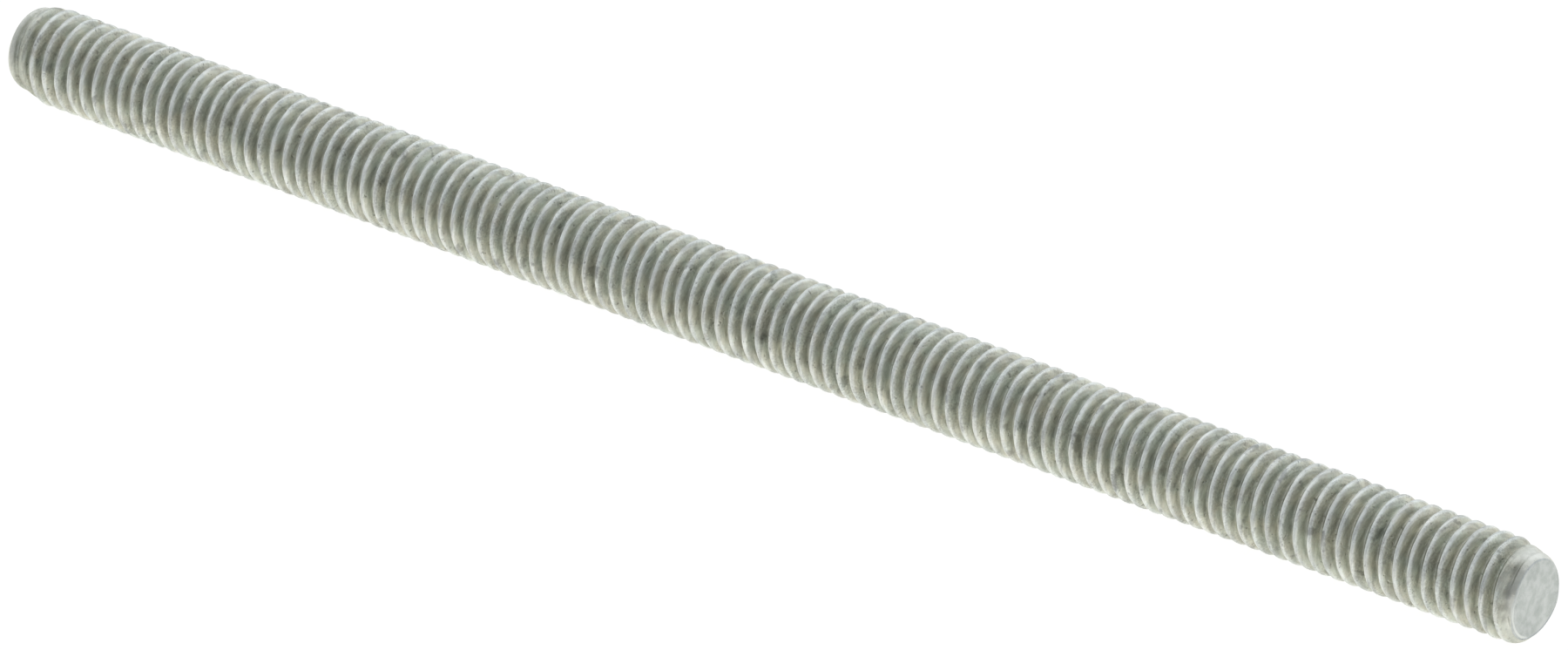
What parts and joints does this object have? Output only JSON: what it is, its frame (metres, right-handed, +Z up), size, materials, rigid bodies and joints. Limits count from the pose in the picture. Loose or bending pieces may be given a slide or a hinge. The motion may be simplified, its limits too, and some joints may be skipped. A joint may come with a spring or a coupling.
{
  "type": "screw pin",
  "caption": "Straight steel pin with a right-hand screw thread along its whole length and two square-cut, tapered ends.",
  "frame": {"origin": "the middle of the pin, on its axis", "axes": "+X along the pin's axis, towards the end where the crest runs out near the top; +Z up with the pin lying on its side; +Y to the back"},
  "size_m": [0.1778, 0.0096, 0.0096],
  "materials": {
    "galvanised_steel": "dull grey-green galvanised zinc coat, matte, slightly mottled"
  },
  "bodies": {
    "root": {"screw_pin": "galvanised_steel"}
  },
  "joints": []
}
